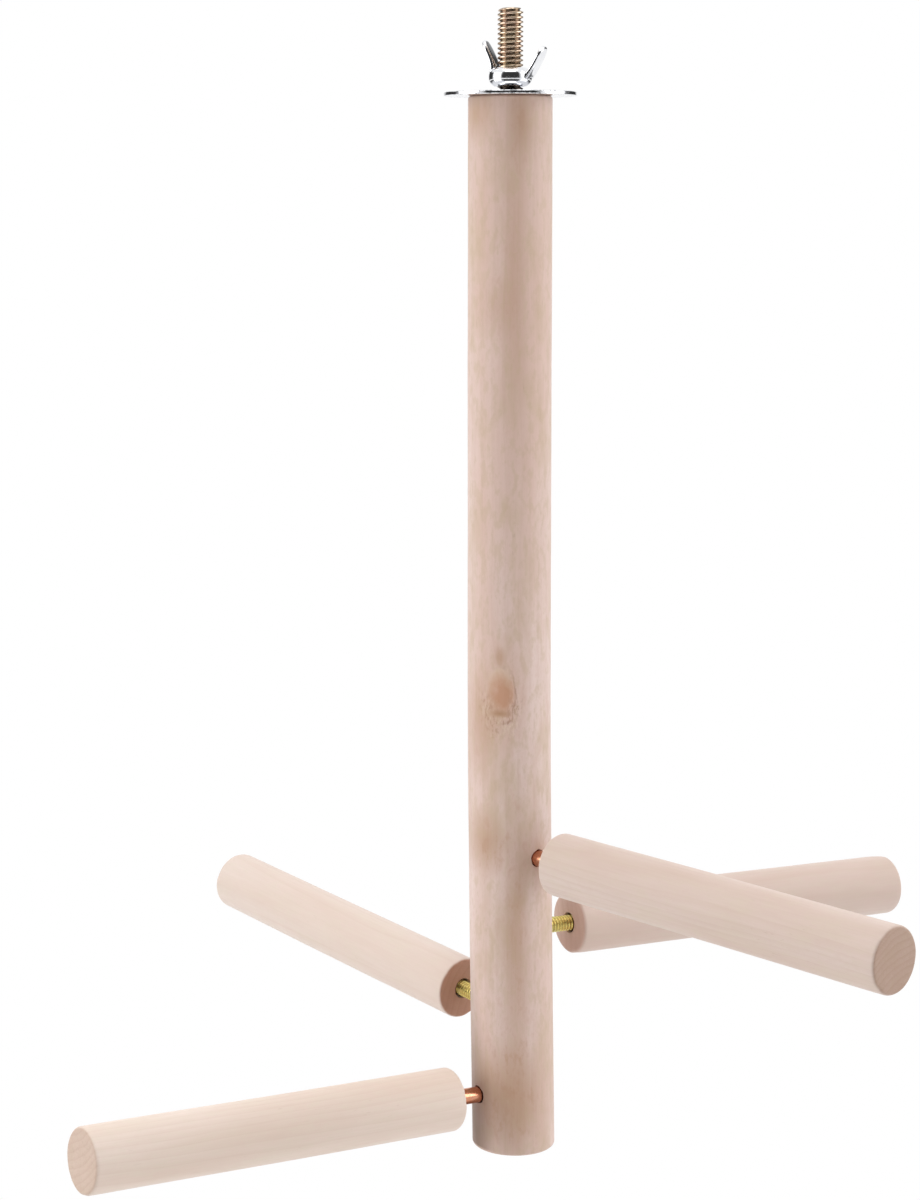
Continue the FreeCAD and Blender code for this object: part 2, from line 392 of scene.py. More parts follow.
# The washer's closed section carried round. With r as a share of the outer radius, its upper
# face dips by dish r^2 and waves by the sum of height cos(number t + phase) r^power.
def makeWasher():
    outer, inner, thick = washer["outer"], washer["inner"], washer["thick"]
    top, foot, (innerFlat, outerFlat) = washer["topEdge"], washer["footEdge"], washer["flats"]
    section = np.vstack([
        arc((inner + foot, foot), foot, 180, 270, 3),
        line((inner + innerFlat, 0), (outer - outerFlat, 0), 22),
        arc((outer - foot, foot), foot, -90, 0, 4),
        arc((outer - top, thick - top), top, 0, 90, 5),
        line((outer - outerFlat, thick), (inner + outerFlat, thick), 22),
        arc((inner + top, thick - top), top, 90, 180, 4),
    ])
    grid = revolve(section, washer["columns"])
    t = np.arange(washer["columns"])[None, :] * turn / washer["columns"]
    r, z = section[:, :1] / outer, section[:, 1:]
    wave = sum(height * np.cos(number * t + phase) * r ** power
               for number, phase, height, power in washer["waves"])
    grid[..., 2] += (wave - washer["dish"] * r ** 2) * (z > 0.5 * thick)
    return ringPiece("roofWasher", grid)


# Millimetres, with heights from the nut's own foot; both ears are a little bent, as by hand.
wingNut = {
    "foot": 2.8,                   # height of its foot at rest
    "bore": 4.02,
    "height": 5.6,
    "endRadius": 5.1,
    "middleRadius": 6.5,
    "barrelPower": 3,              # higher is boxier
    "edge": 0.35,                  # bevel at the bore and round each end face
    "shoulder": 0.25,              # height of the bevel between end face and barrel
    "ears": [                      # radius and height along the middle line, degrees about the bolt
        {"path": [(5.3, 2.6), (7.2, 5.0), (9.05, 8.2), (10.7, 11.8)], "turn": -20.0},
        {"path": [(4.9, 4.2), (5.0, 6.9), (6.35, 10.3), (8.15, 13.9)], "turn": 160.0},
    ],
    "earThick": [0.90, 0.76, 0.70, 0.66],   # half thickness from root to tip
    "earWidth": [3.5, 3.25, 3.05, 2.9],     # half width
    "boxy": 4.5,                   # power of the ear's rounded-box section
    "earRows": 40,
    "earColumns": 64,
    "voxel": 0.13,
    "softening": 5,                # rounds of smoothing
}


# One ear: the section |x / w|^p + |y / h|^p = 1 carried along the bowed path. Its width and
# thickness fall off at the tip like a quarter circle, sqrt(1 - (1 - s)^2).
def earGrid(ear):
    s, knots = np.linspace(0, 1, wingNut["earRows"]), np.linspace(0, 1, 4)
    path = np.array(ear["path"])
    middle = np.stack([np.polyval(np.polyfit(knots, path[:, k], 3), s) for k in (0, 1)], axis=1)
    forward = np.gradient(middle, axis=0)
    forward /= np.linalg.norm(forward, axis=1)[:, None]
    left = (1 - s) * np.linalg.norm(path[-1] - path[0])
    width = np.interp(s, knots, wingNut["earWidth"])
    thick = np.interp(s, knots, wingNut["earThick"])
    width = width * np.maximum(np.sqrt(1 - np.clip(1 - left / width[-1], 0, 1) ** 2), 0.05)
    thick = thick * np.maximum(np.sqrt(1 - np.clip(1 - left / thick[-1], 0, 1) ** 2), 0.05)
    q, power = np.arange(wingNut["earColumns"]) * turn / wingNut["earColumns"], 2 / wingNut["boxy"]
    across = np.sign(np.cos(q)) * abs(np.cos(q)) ** power * width[:, None]
    through = np.sign(np.sin(q)) * abs(np.sin(q)) ** power * thick[:, None]
    r = middle[:, :1] + through * forward[:, 1:]
    z = middle[:, 1:] - through * forward[:, :1]
    cos, sin = math.cos(math.radians(ear["turn"])), math.sin(math.radians(ear["turn"]))
    return np.stack([r * cos - across * sin, r * sin + across * cos, z], axis=-1)


# The nut: a barrel hub, radius middle - (middle - end) |v|^power for v from -1 to 1, and two ears,
# made one skin by a voxel remesh and softened as forging leaves it.
def makeWingNut():
    end, middle, bore, height = (wingNut[key] for key in ("endRadius", "middleRadius", "bore", "height"))
    edge, power = wingNut["edge"], wingNut["barrelPower"]
    v = np.linspace(-1, 1, 25)
    barrelHeight = height / 2 + v * (height / 2 - wingNut["shoulder"])
    barrel = np.stack([middle - (middle - end) * abs(v) ** power, barrelHeight], axis=1)
    section = np.vstack([
        [[bore + edge, 0], [end - edge, 0]], barrel, [[end - edge, height], [bore + edge, height]],
        line((bore, height - edge), (bore, edge), 2),
    ])
    hub = ringPiece("nutHub", revolve(section, 96))
    ears = [gridPiece("nutEar", earGrid(ear)) for ear in wingNut["ears"]]
    bpy.ops.object.select_all(action="DESELECT")
    for piece in [hub] + ears:
        piece.select_set(True)
    bpy.context.view_layer.objects.active = hub
    bpy.ops.object.join()
    remesh = hub.modifiers.new("oneSkin", "REMESH")
    remesh.mode, remesh.voxel_size, remesh.adaptivity = "VOXEL", wingNut["voxel"], 0
    soften = hub.modifiers.new("soften", "SMOOTH")
    soften.factor, soften.iterations = 0.5, wingNut["softening"]
    mesh = bpy.data.meshes.new_from_object(hub.evaluated_get(bpy.context.evaluated_depsgraph_get()))
    points = np.zeros(len(mesh.vertices) * 3)
    mesh.vertices.foreach_get("co", points)
    points = (points.reshape(-1, 3) + [0, 0, wingNut["foot"]]) * mm
    mesh.vertices.foreach_set("co", points.ravel())
    mesh.polygons.foreach_set("use_smooth", np.ones(len(mesh.polygons), bool))
    mesh.update()
    bpy.data.objects.remove(hub)
    piece = bpy.data.objects.new("wingNutForged", mesh)
    bpy.context.scene.collection.objects.link(piece)
    return piece


# Node helpers: each makes one node, or two, and gives back its output.
def addNode(tree, kind, inputs=None, **settings):
    node = tree.nodes.new(kind)
    for key, value in settings.items():
        setattr(node, key, value)
    for key, value in (inputs or {}).items():
        if isinstance(value, bpy.types.NodeSocket):
            tree.links.new(value, node.inputs[key])
        else:
            node.inputs[key].default_value = value
    return node


def calc(tree, operation, a, b=0.5):
    return addNode(tree, "ShaderNodeMath", {0: a, 1: b}, operation=operation).outputs[0]


def times(tree, *factors):
    result = factors[0]
    for factor in factors[1:]:
        result = calc(tree, "MULTIPLY", result, factor)
    return result


def vectorCalc(tree, operation, a, b=(0, 0, 0)):
    node = addNode(tree, "ShaderNodeVectorMath", {0: a, 1: b}, operation=operation)
    return node.outputs["Value"] if operation == "LENGTH" else node.outputs[0]


def remap(tree, value, fromLow, fromHigh, toLow=0.0, toHigh=1.0):
    inputs = {0: value, 1: fromLow, 2: fromHigh, 3: toLow, 4: toHigh}
    return addNode(tree, "ShaderNodeMapRange", inputs, clamp=True).outputs[0]


def mixColour(tree, share, a, b, blend="MIX"):
    inputs = {0: share, 6: a, 7: b}
    return addNode(tree, "ShaderNodeMix", inputs, data_type="RGBA", blend_type=blend).outputs[2]


# Noise with a scale for each direction, in waves to a metre.
def noiseAt(tree, coords, scale, detail=2.0, roughness=0.5, offset=(0, 0, 0)):
    moved = addNode(tree, "ShaderNodeMapping", {"Vector": coords, "Scale": scale, "Location": offset})
    inputs = {"Vector": moved.outputs[0], "Scale": 1.0, "Detail": detail, "Roughness": roughness}
    return addNode(tree, "ShaderNodeTexNoise", inputs).outputs[0]


# Distance from (x, z) in half widths and half heights: sqrt(u^2 + w^2), with u and w.
def ovalAway(tree, x, z, centre, size):
    u = calc(tree, "DIVIDE", calc(tree, "SUBTRACT", x, centre[0]), size[0])
    w = calc(tree, "DIVIDE", calc(tree, "SUBTRACT", z, centre[1]), size[1])
    total = calc(tree, "ADD", times(tree, u, u), times(tree, w, w))
    return calc(tree, "SQRT", total), u, w


# Object coordinates turned and moved so that a piece's own axis is Z from its start.
def toAxis(tree, coords, start, axes):
    turned = Matrix([list(row) for row in axes])
    inputs = {"Vector": coords, "Rotation": turned.to_euler("XYZ"), "Location": -(turned @ Vector(start))}
    return addNode(tree, "ShaderNodeMapping", inputs).outputs[0]


# A material with one shader, whose constant values are set on its own sockets.
def newMaterial(name, fixed):
    material = bpy.data.materials.new(name)
    material.use_nodes = True
    tree = material.node_tree
    tree.nodes.clear()
    shader = addNode(tree, "ShaderNodeBsdfPrincipled", fixed)
    addNode(tree, "ShaderNodeOutputMaterial", {"Surface": shader.outputs[0]})
    return material, tree, shader


# Lengths from the post's foot; x is level across the face that the stand is seen from.
postWood = {
    "pale": (0.77, 0.62, 0.575, 1), "pink": (0.675, 0.485, 0.415, 1), "ring": (0.53, 0.36, 0.265, 1),
    "fleck": (0.36, 0.21, 0.14, 1), "endTint": (0.80, 0.70, 0.62, 1), "olive": (0.56, 0.425, 0.285, 1),
    "ringWidth": 3.4 * mm, "ringShare": 0.16, "pith": (-31 * mm, 22 * mm),
    "grain": 0.45, "mottle": 0.42, "seed": 3.1,
    "knot": {
        "at": (-2.9 * mm, 141.5 * mm), "size": (4.5 * mm, 8.8 * mm),
        "heartAt": (-2.2 * mm, 142.2 * mm), "heartSize": (5.2 * mm, 7.4 * mm),
        "cream": (0.75, 0.62, 0.49, 1), "heart": (0.53, 0.275, 0.16, 1), "line": (0.37, 0.20, 0.13, 1),
        "haloShare": 0.22, "creamShare": 0.55, "heartShare": 0.82, "tornDark": 0.55, "tornPale": 0.5,
    },
    "stainTone": (0.46, 0.27, 0.16, 1),
    "stains": [                    # place, half sizes, share
        ((3 * mm, 312 * mm), (3.5 * mm, 11 * mm), 0.62),
        ((-10 * mm, 315 * mm), (4 * mm, 7 * mm), 0.55),
        ((0.5 * mm, 268 * mm), (3 * mm, 36 * mm), 0.34),
        ((-5 * mm, 258 * mm), (5 * mm, 8 * mm), 0.32),
        ((-9 * mm, 132 * mm), (3.5 * mm, 13 * mm), 0.42),
        ((-7 * mm, 96 * mm), (5 * mm, 8 * mm), 0.72),
        ((1.5 * mm, 68 * mm), (4 * mm, 34 * mm), 0.55),
        ((-1 * mm, 19 * mm), (7 * mm, 13 * mm), 0.62),
        ((3 * mm, 16 * mm), (8 * mm, 14 * mm), 0.45),
        ((-3.2 * mm, 136 * mm), (2.6 * mm, 1.0 * mm), 1.0),
        ((-3.2 * mm, 153 * mm), (1.6 * mm, 2.4 * mm), 0.5),
    ],
}

perchWoods = [
    {
        "pale": (0.84, 0.715, 0.64, 1), "pink": (0.77, 0.62, 0.53, 1), "ring": (0.66, 0.49, 0.40, 1),
        "fleck": (0.45, 0.31, 0.22, 1), "endTint": (0.80, 0.735, 0.69, 1), "olive": (0.76, 0.68, 0.55, 1),
        "ringWidth": 2.2 * mm, "ringShare": 0.22, "pith": (14 * mm, -26 * mm),
        "grain": 0.42, "mottle": 0.22, "seed": 17.0,
    },
    {
        "pale": (0.78, 0.665, 0.60, 1), "pink": (0.73, 0.59, 0.515, 1), "ring": (0.63, 0.475, 0.39, 1),
        "fleck": (0.45, 0.31, 0.22, 1), "endTint": (0.68, 0.47, 0.385, 1), "olive": (0.72, 0.64, 0.52, 1),
        "ringWidth": 2.9 * mm, "ringShare": 0.20, "pith": (35 * mm, 18 * mm),
        "grain": 0.42, "mottle": 0.22, "seed": 29.0,
    },
    {
        "pale": (0.705, 0.58, 0.525, 1), "pink": (0.645, 0.495, 0.43, 1), "ring": (0.59, 0.435, 0.355, 1),
        "fleck": (0.54, 0.39, 0.32, 1), "endTint": (1.0, 0.93, 0.93, 1), "olive": (0.64, 0.545, 0.445, 1),
        "ringWidth": 2.5 * mm, "ringShare": 0.20, "pith": (-28 * mm, 9 * mm),
        "grain": 0.45, "mottle": 0.26, "seed": 43.0,
    },
    {
        "pale": (0.705, 0.585, 0.53, 1), "pink": (0.64, 0.495, 0.43, 1), "ring": (0.57, 0.425, 0.345, 1),
        "fleck": (0.42, 0.28, 0.20, 1), "endTint": (0.70, 0.60, 0.54, 1), "olive": (0.645, 0.55, 0.435, 1),
        "ringWidth": 1.9 * mm, "ringShare": 0.28, "pith": (-8 * mm, 21 * mm),
        "grain": 0.55, "mottle": 0.30, "seed": 61.0,
    },
]


woodShader = {"IOR": 1.45, "Specular IOR Level": 0.35, "Sheen Weight": 0.22, "Sheen Roughness": 0.45}
woodBump = {"Strength": 0.55, "Distance": 0.09 * mm}
saw = {"scale": 420.0, "distortion": 1.5, "turn": 0.6}     # lines of the sawn ends
# near-black brown painted into the drilled holes as shade
holeShade = (0.12, 0.065, 0.04, 1)
ringRamp = [(0.45, 0.16), (0.80, 0.62), (0.91, 1.0)]       # greys across one growth ring, from 0.11

woodNoises = {                     # waves to a metre on the dowel's axes, detail, roughness
    "bend": ((38, 38, 7), 2, 0.5),
    "stain": ((55, 55, 9), 3, 0.55),
    "fibre": ((1500, 1500, 60), 4, 0.62),
    "streak": ((420, 420, 16), 3, 0.6),
    "dash": ((2100, 2100, 420), 1, 0.4),
    "patchy": ((90, 90, 30), 2, 0.5),
    "mottle": ((480, 480, 210), 4, 0.65),
    "blush": ((130, 130, 60), 3, 0.55),
    "pores": ((1900, 1900, 60), 2, 0.6),
    "knotEdge": ((330, 330, 240), 3, 0.55),
    "grit": ((1300, 1300, 520), 2, 0.6),
    "broken": ((420, 420, 260), 2, 0.6),
}


def woodNoise(tree, coords, kind, offset):
    return noiseAt(tree, coords, *woodNoises[kind], offset)


# How far (x, z) is from the knot, in its own half sizes and with a ragged edge; it grows
# quickly towards the far side of the post, where there is no knot.
def knotAway(tree, knot, local, x, y, z, seed):
    away, u, w = ovalAway(tree, x, z, knot["at"], knot["size"])
    ragged = calc(tree, "SUBTRACT", woodNoise(tree, local, "knotEdge", seed), 0.5)
    away = calc(tree, "ADD", away, times(tree, ragged, 0.55))
    return calc(tree, "ADD", away, remap(tree, y, -4 * mm, 0.0, 0.0, 9.0)), u, w, ragged


# Paints the knot: cream towards its top, a soft brown heart, a broken dark line most of all
# down its right side, and torn grain below and to the left.
def paintKnot(tree, knot, local, away, u, w, ragged, x, z, tone, height):
    grit = woodNoise(tree, local, "grit", (3, 1, 2))
    broken = remap(tree, woodNoise(tree, local, "broken", (1, 2, 6)), 0.36, 0.60)
    inside = remap(tree, away, 0.80, 1.10, 1.0, 0.0)
    halo = remap(tree, away, 0.9, 2.2, 1.0, 0.0)
    heartAway = ovalAway(tree, x, z, knot["heartAt"], knot["heartSize"])[0]
    heart = remap(tree, calc(tree, "ADD", heartAway, times(tree, ragged, 0.9)), 0.30, 1.15, 1.0, 0.0)
    onLine = times(tree, remap(tree, away, 0.90, 1.0), remap(tree, away, 1.0, 1.10, 1.0, 0.0))
    onLine = times(tree, onLine, remap(tree, u, -0.1, 0.7, 0.05, 0.65), broken)
    fromEdge = calc(tree, "ABSOLUTE", calc(tree, "SUBTRACT", away, 1.05))
    torn = times(tree, remap(tree, fromEdge, 0.0, 0.7, 1.0, 0.0), remap(tree, w, -0.35, 0.35, 1.0, 0.08))
    tone = mixColour(tree, times(tree, halo, knot["haloShare"]), tone, knot["heart"])
    top = times(tree, inside, remap(tree, w, 0.0, 0.7), knot["creamShare"])
    tone = mixColour(tree, top, tone, knot["cream"])
    tone = mixColour(tree, times(tree, inside, heart, knot["heartShare"]), tone, knot["heart"])
    tone = mixColour(tree, onLine, tone, knot["line"])
    dark = remap(tree, grit, 0.54, 0.64, 0.0, knot["tornDark"])
    pale = remap(tree, grit, 0.44, 0.36, 0.0, knot["tornPale"])
    tone = mixColour(tree, times(tree, torn, dark), tone, knot["line"])
    tone = mixColour(tree, times(tree, torn, pale), tone, knot["cream"])
    relief = times(tree, torn, calc(tree, "SUBTRACT", grit, 0.5))
    height = calc(tree, "ADD", height, relief)
    return tone, calc(tree, "SUBTRACT", height, times(tree, onLine, 0.5))


# Paints the sawn ends and the screw holes: darker end grain with plainer rings, open pores
# and fine parallel saw lines, and painted shade deep inside the screw holes.
def paintEnds(tree, wood, local, z, length, radius, ringGrey, tone, height):
    toEnd = calc(tree, "MINIMUM", z, calc(tree, "SUBTRACT", length, z))
    across = vectorCalc(tree, "LENGTH", vectorCalc(tree, "MULTIPLY", local, (1, 1, 0)))
    face = times(tree, remap(tree, toEnd, 0.15 * mm, 0.6 * mm, 1.0, 0.0),
                 remap(tree, across, radius - 0.5 * mm, radius - 0.1 * mm, 1.0, 0.25))
    hole = times(tree, remap(tree, toEnd, 0.3 * mm, 1.2 * mm),
                 remap(tree, across, radius - 1.6 * mm, radius - 0.8 * mm, 1.0, 0.0))
    pores = woodNoise(tree, local, "pores", (wood["seed"], 1, 4))
    rotation = (0, 0, saw["turn"] + wood["seed"])
    turned = addNode(tree, "ShaderNodeMapping", {"Vector": local, "Rotation": rotation}).outputs[0]
    waves = {"Vector": turned, "Scale": saw["scale"], "Distortion": saw["distortion"], "Detail": 1.0}
    sawLines = addNode(tree, "ShaderNodeTexWave", waves, wave_type="BANDS").outputs[1]
    ringTone = mixColour(tree, 1.0, wood["ring"], wood["endTint"], "MULTIPLY")
    endTone = mixColour(tree, 1.0, tone, wood["endTint"], "MULTIPLY")
    endTone = mixColour(tree, times(tree, ringGrey, 0.34), endTone, ringTone)
    endTone = mixColour(tree, remap(tree, pores, 0.45, 0.75, 0.0, 0.3), endTone, wood["fleck"])
    tone = mixColour(tree, face, tone, endTone)
    # painted shade: the walls deep inside the drilled holes are darkened to near black-brown
    tone = mixColour(tree, times(tree, hole, 0.8), tone, holeShade)
    return tone, calc(tree, "ADD", height, times(tree, face, sawLines, 0.18))


# Bare sanded wood on the dowel's own axes. A growth ring's phase is the distance from a pith
# line outside the dowel over the ring width, bent by slow noise; grain, flecks and stain are
# noises drawn out along the dowel, and the mottle of pink and olive is finer and rounder.
def woodMaterial(name, wood, start, axes, length, radius):
    material, tree, shader = newMaterial(name, woodShader)
    local = toAxis(tree, addNode(tree, "ShaderNodeTexCoord").outputs["Object"], start, axes)
    x, y, z = addNode(tree, "ShaderNodeSeparateXYZ", {0: local}).outputs
    seed = (wood["seed"], wood["seed"] * 1.7, wood["seed"] * 0.6)
    toPith = vectorCalc(tree, "ADD", local, (wood["pith"][0], wood["pith"][1], 0))
    far = vectorCalc(tree, "LENGTH", vectorCalc(tree, "MULTIPLY", toPith, (1, 1, 0)))
    bend = calc(tree, "SUBTRACT", woodNoise(tree, local, "bend", seed), 0.5)
    far = calc(tree, "ADD", far, times(tree, bend, 9 * mm))
    knot = wood.get("knot")
    if knot:
        away, u, w, ragged = knotAway(tree, knot, local, x, y, z, seed)
        pull = remap(tree, away, 0.6, 2.6, 1.0, 0.0)
        far = calc(tree, "ADD", far, times(tree, pull, pull, 3.2 * mm))
    phase = calc(tree, "FRACT", calc(tree, "DIVIDE", far, wood["ringWidth"]))
    ramp = addNode(tree, "ShaderNodeValToRGB", {0: phase})
    stops = ramp.color_ramp.elements
    stops[0].color = stops[1].color = (0.11, 0.11, 0.11, 1)
    for position, grey in ringRamp:
        stops.new(position).color = (grey, grey, grey, 1)
    ringGrey = ramp.outputs[0]
    stain = remap(tree, woodNoise(tree, local, "stain", (seed[1], seed[0], 0)), 0.32, 0.68)
    fibre = woodNoise(tree, local, "fibre", seed)
    streak = woodNoise(tree, local, "streak", (seed[2], 2, seed[0]))
    dash = woodNoise(tree, local, "dash", (5, seed[0], 1))
    patchy = woodNoise(tree, local, "patchy", (seed[0], 8, 3))
    fleck = times(tree, remap(tree, dash, 0.68, 0.78), remap(tree, patchy, 0.46, 0.70))
    mottle = woodNoise(tree, local, "mottle", (7, seed[0], 4))
    blush = woodNoise(tree, local, "blush", (seed[0], 3, 9))
    tone = mixColour(tree, stain, wood["pale"], wood["pink"])
    tone = mixColour(tree, remap(tree, blush, 0.48, 0.66, 0.0, wood["mottle"]), tone, wood["olive"])
    tone = mixColour(tree, remap(tree, mottle, 0.48, 0.62, 0.0, wood["mottle"]), tone, wood["olive"])
    tone = mixColour(tree, remap(tree, mottle, 0.46, 0.34, 0.0, wood["mottle"]), tone, wood["pink"])
    tone = mixColour(tree, times(tree, ringGrey, wood["ringShare"]), tone, wood["ring"])
    tone = mixColour(tree, remap(tree, streak, 0.40, 0.72, 0.0, 0.20 * wood["grain"]), tone, wood["ring"])
    tone = mixColour(tree, remap(tree, fibre, 0.35, 0.75, 0.0, 0.16 * wood["grain"]), tone, wood["fleck"])
    tone = mixColour(tree, times(tree, fleck, 0.5 * wood["grain"]), tone, wood["fleck"])
    height = calc(tree, "ADD", times(tree, fibre, 0.5), times(tree, streak, 0.2))
    height = calc(tree, "ADD", height, times(tree, mottle, 0.25))
    height = calc(tree, "SUBTRACT", height, times(tree, fleck, 0.4))
    if knot:
        tone, height = paintKnot(tree, knot, local, away, u, w, ragged, x, z, tone, height)
    for place, size, share in wood.get("stains", []):
        spread = ovalAway(tree, x, z, place, size)[0]
        spread = calc(tree, "ADD", spread, times(tree, calc(tree, "SUBTRACT", mottle, 0.5), 1.6))
        inFront = remap(tree, y, -2 * mm, 2 * mm, 1.0, 0.0)
        soft = times(tree, remap(tree, spread, 0.1, 1.5, 1.0, 0.0), inFront, share)
        tone = mixColour(tree, soft, tone, wood["stainTone"])
    tone, height = paintEnds(tree, wood, local, z, length, radius, ringGrey, tone, height)
    bump = addNode(tree, "ShaderNodeBump", dict(woodBump, Height=height))
    tree.links.new(tone, shader.inputs["Base Color"])
    tree.links.new(remap(tree, fibre, 0.3, 0.8, 0.55, 0.78), shader.inputs["Roughness"])
    tree.links.new(bump.outputs[0], shader.inputs["Normal"])
    return material


# Tints are mixed by slow noise; valley is the radius where a thread's root takes its full painted
# shade and where it takes none; a band of heights takes painted shade; rim roughens a stamped edge and
# paints dark specks there as shade and dark reflection.
finishes = {
    "boltPlating": {
        "tints": [(0.66, 0.53, 0.38, 1), (0.59, 0.42, 0.33, 1), (0.53, 0.47, 0.34, 1)],
        "rough": (0.15, 0.25), "grain": (900, 900, 900), "bump": 0.22,
        "valley": (3.05 * mm, 3.7 * mm), "rootShade": 0.62, "grime": (1.3 * mm, 3.1 * mm),
    },
    "brassPlating": {
        "tints": [(0.84, 0.72, 0.24, 1), (0.74, 0.58, 0.18, 1), (0.66, 0.68, 0.30, 1)],
        "rough": (0.22, 0.36), "grain": (900, 900, 900), "bump": 0.22,
        "valley": (2.0 * mm, 2.36 * mm), "rootShade": 0.4,
    },
    "copperPlating": {
        "tints": [(0.70, 0.33, 0.20, 1), (0.60, 0.24, 0.14, 1), (0.74, 0.42, 0.27, 1)],
        "rough": (0.12, 0.24), "grain": (500, 500, 1800), "bump": 0.2,
        "valley": (2.0 * mm, 2.36 * mm), "rootShade": 0.4,
    },
    "brightPlating": {
        "tints": [(0.88, 0.89, 0.91, 1), (0.80, 0.81, 0.84, 1), (0.85, 0.86, 0.90, 1)],
        "rough": (0.05, 0.14), "grain": (700, 700, 700), "bump": 0.14,
    },
    "washerPlating": {
        "tints": [(0.88, 0.89, 0.91, 1), (0.80, 0.81, 0.84, 1), (0.85, 0.86, 0.90, 1)],
        "rough": (0.06, 0.18), "grain": (700, 700, 700), "bump": 0.16,
        "rim": (19.2 * mm, 19.6 * mm),
    },
}


metalNoises = {                    # waves to a metre, detail, roughness, offset
    "slow": ((160, 160, 160), 2, 0.5, (0, 0, 0)),
    "other": ((310, 310, 310), 3, 0.55, (4, 7, 1)),
    "drawn": ((2600, 240, 900), 1, 0.4, (9, 5, 2)),
    "torn": ((620, 620, 900), 3, 0.65, (2, 6, 4)),
}
metalTones = {
    "scratch": (0.30, 0.29, 0.28, 1), "rootShade": (0.06, 0.04, 0.025, 1), "grime": (0.03, 0.03, 0.03, 1),
    "specks": (0.16, 0.16, 0.17, 1),
}


# Plated steel: hairline scratches lie where a drawn-out noise crosses its middle value.
def metalMaterial(name, look, start, axes):
    material, tree, shader = newMaterial(name, {"Metallic": 1.0})
    local = toAxis(tree, addNode(tree, "ShaderNodeTexCoord").outputs["Object"], start, axes)
    slow = remap(tree, noiseAt(tree, local, *metalNoises["slow"]), 0.35, 0.65)
    other = remap(tree, noiseAt(tree, local, *metalNoises["other"]), 0.5, 0.72)
    fine = noiseAt(tree, local, look["grain"], 3, 0.6, (1, 2, 3))
    drawn = calc(tree, "SUBTRACT", noiseAt(tree, local, *metalNoises["drawn"]), 0.5)
    scratch = remap(tree, calc(tree, "ABSOLUTE", drawn), 0.0, 0.014, 1.0, 0.0)
    first, second, third = look["tints"]
    tone = mixColour(tree, slow, first, second)
    tone = mixColour(tree, times(tree, other, 0.6), tone, third)
    tone = mixColour(tree, times(tree, scratch, 0.25), tone, metalTones["scratch"])
    height = calc(tree, "SUBTRACT", fine, times(tree, scratch, 0.5))
    across = vectorCalc(tree, "LENGTH", vectorCalc(tree, "MULTIPLY", local, (1, 1, 0)))
    if "valley" in look:
        # painted shade: each thread's root is darkened towards its smallest radius, standing in for the
        # shade in the grooves
        rootShade = remap(tree, across, look["valley"][0], look["valley"][1], look["rootShade"], 0.0)
        tone = mixColour(tree, rootShade, tone, metalTones["rootShade"])
    # painted shade: a near-black band on the bolt between the washer and the nut's foot, standing in for
    # the shade in that gap
    if "grime" in look:
        z = addNode(tree, "ShaderNodeSeparateXYZ", {0: local}).outputs[2]
        low, high = look["grime"]
        start, stop = remap(tree, z, low, low + 0.2 * mm), remap(tree, z, high - 0.2 * mm, high, 1.0, 0.0)
        band = times(tree, start, stop)
        tone = mixColour(tree, times(tree, band, 0.85), tone, metalTones["grime"])
    if "rim" in look:
        torn = noiseAt(tree, local, *metalNoises["torn"])
        rim = remap(tree, across, look["rim"][0], look["rim"][1])
        height = calc(tree, "ADD", height, times(tree, rim, torn, 9.0))
        # painted shade and reflection: dark specks round the washer's outer edge stand in for the shade
        # and dark reflection on its underside
        specks = times(tree, rim, remap(tree, torn, 0.52, 0.60, 0.0, 0.75))
        tone = mixColour(tree, specks, tone, metalTones["specks"])
    rough = remap(tree, fine, 0.3, 0.7, look["rough"][0], look["rough"][1])
    rough = calc(tree, "ADD", rough, times(tree, scratch, 0.12))
    relief = {"Strength": look["bump"], "Distance": 0.02 * mm, "Height": height}
    bump = addNode(tree, "ShaderNodeBump", relief)
    tree.links.new(tone, shader.inputs["Base Color"])
    tree.links.new(rough, shader.inputs["Roughness"])
    tree.links.new(bump.outputs[0], shader.inputs["Normal"])
    return material


# Gives a piece its material and tells the frame which body it rides and which node it shows.
def dress(piece, material, body, node):
    piece.data.materials.clear()
    piece.data.materials.append(material)
    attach(piece, body)
    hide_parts(node)


upright = np.eye(3)
footPoint = (0, 0, -post["length"])
postTimber = woodMaterial("postBeech", postWood, footPoint, upright, post["length"], post["radius"])
dress(makePost(), postTimber, "root", "post")
print("post made")

boltMetal = metalMaterial("boltPlating", finishes["boltPlating"], (0, 0, 0), upright)
washerMetal = metalMaterial("washerPlating", finishes["washerPlating"], (0, 0, 0), upright)
nutMetal = metalMaterial("brightPlating", finishes["brightPlating"], (0, 0, 0), upright)
bolt = gridPiece("clampBolt", threadedRod(hangerBolt, hangerBolt["threads"]), 70)
dress(bolt, boltMetal, "root", "hanger_bolt")
dress(makeWasher(), washerMetal, "washer", "cage_washer")
dress(makeWingNut(), nutMetal, "nut", "wing_nut")
print("bolt, washer and wing nut made")

platings = ["copperPlating", "brassPlating", "brassPlating", "copperPlating"]
for i in range(4):
    number = i + 1
    centre, along = perchLine(i)
    axes = axesFor(along)
    start = centre + along * (post["radius"] + perch["gap"])
    timber = woodMaterial("perchBeech%d" % number, perchWoods[i], start, axes,
                          perch["length"], perch["radius"])
    dress(makePerch(i), timber, "perch_%d_body" % number, "perch_%d" % number)
    metal = metalMaterial("%s%d" % (platings[i], number), finishes[platings[i]], centre, axes)
    dress(makePerchScrew(i), metal, "screw_%d" % number, "perch_screw_%d" % number)
print("perches and their screws made")


studio = {
    "floorHeight": -0.62,
    "floorSize": 6.0,              # half width
    "fade": (0.4, 0.75),           # distance over which the floor goes from its shadow to plain white
    "ambient": 0.82,               # world light on the object
    "frontAmbient": 0.26,          # the same from the camera's side
    "room": (0.56, 0.70),          # how squarely a mirrored direction meets the dark room in front
    "lamps": [                     # place, size, watts
        ((-1.2, -0.25, 0.25), 0.9, 7.2),
        ((1.2, -0.15, 0.25), 0.9, 6.5),
        ((0.0, -0.2, 1.3), 1.0, 7.0),
    ],
    "aim": (0, 0, -0.17),
}


